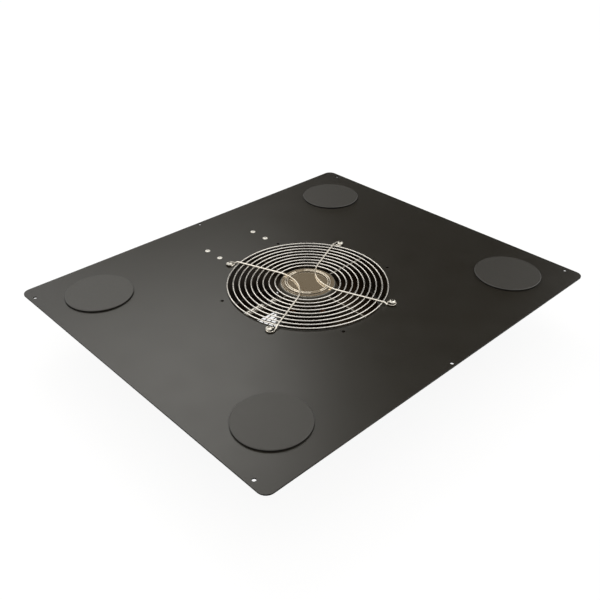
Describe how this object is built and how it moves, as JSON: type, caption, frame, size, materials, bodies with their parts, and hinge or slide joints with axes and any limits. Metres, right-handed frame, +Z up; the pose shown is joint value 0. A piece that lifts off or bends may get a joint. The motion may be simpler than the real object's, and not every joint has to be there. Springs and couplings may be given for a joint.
{
  "type": "rack fan tray",
  "caption": "Flat steel rack top panel with a large round axial fan under wire finger guards, plugged cable holes and a wiring box.",
  "frame": {"origin": "centre of the panel on its underside, which lies on the rack, and on the fan's axis", "axes": "+Z up out of the rack along the fan's axis, the way the air goes; +X along the panel's long side; +Y along its short side, towards the wiring box"},
  "size_m": [0.6636, 0.5588, 0.1024],
  "materials": {
    "panel_powder_coat": "satin fine-texture powder coat",
    "cast_black": "satin black paint on die-cast aluminium",
    "cap_metal": "satin, fine turned grain",
    "lamination": "stacked laminations, dull",
    "copper": "enamelled copper wire",
    "bearing_steel": "ground",
    "lead_insulation": "semi-gloss insulation",
    "bushing_rubber": "matte",
    "guard_wire": "bright nickel-chrome plate",
    "screw_nickel": "bright nickel plate",
    "zinc_steel": "bright zinc plate",
    "box_sheet": "galvanised sheet",
    "bushing_nylon": "moulded nylon",
    "capacitor_can": "drawn can",
    "terminal_plastic": "moulded",
    "earth_brass": "turned",
    "rotor_black": "satin black",
    "blade_black": "satin black",
    "plug_plastic": "fine-textured moulding"
  },
  "bodies": {
    "frame": {"top_panel": "panel_powder_coat", "fan_housing": "cast_black", "motor_cap": "cap_metal", "stator_core": "lamination", "stator_windings": "copper", "upper_bearing": "bearing_steel", "lower_bearing": "bearing_steel", "motor_leads": "lead_insulation", "lead_bushing": "bushing_rubber", "upper_guard": "guard_wire", "lower_guard": "guard_wire", "upper_guard_screws": "screw_nickel", "upper_guard_nuts": "zinc_steel", "lower_guard_screws": "screw_nickel", "lower_guard_nuts": "zinc_steel", "wiring_box": "box_sheet", "wiring_box_cover": "box_sheet", "wiring_box_screws": "screw_nickel", "wiring_box_nuts": "zinc_steel", "cover_screws": "screw_nickel", "cord_bushing": "bushing_nylon", "fan_lead_bushing": "bushing_nylon", "run_capacitor": "capacitor_can", "capacitor_clamp": "zinc_steel", "terminal_block": "terminal_plastic", "earth_stud": "earth_brass"},
    "rotor": {"rotor_shaft": "bearing_steel", "shaft_clip": "bearing_steel", "preload_washer": "bearing_steel", "rotor_shell": "rotor_black", "rotor_cage": "lamination", "impeller": "blade_black"},
    "plug_front": {"cable_hole_plug_front": "plug_plastic"},
    "plug_right": {"cable_hole_plug_right": "plug_plastic"},
    "plug_back": {"cable_hole_plug_back": "plug_plastic"},
    "plug_left": {"cable_hole_plug_left": "plug_plastic"}
  },
  "joints": [
    {"name": "rotor_spin", "type": "hinge", "parent": "frame", "child": "rotor", "pos_m": [0, 0, -0.04], "axis": [0, 0, 1], "continuous": true},
    {"name": "plug_front_lift", "type": "slide", "parent": "frame", "child": "plug_front", "axis": [0, 0, 1], "range_m": [0, 0.03]},
    {"name": "plug_right_lift", "type": "slide", "parent": "frame", "child": "plug_right", "axis": [0, 0, 1], "range_m": [0, 0.03]},
    {"name": "plug_back_lift", "type": "slide", "parent": "frame", "child": "plug_back", "axis": [0, 0, 1], "range_m": [0, 0.03]},
    {"name": "plug_left_lift", "type": "slide", "parent": "frame", "child": "plug_left", "axis": [0, 0, 1], "range_m": [0, 0.03]}
  ]
}
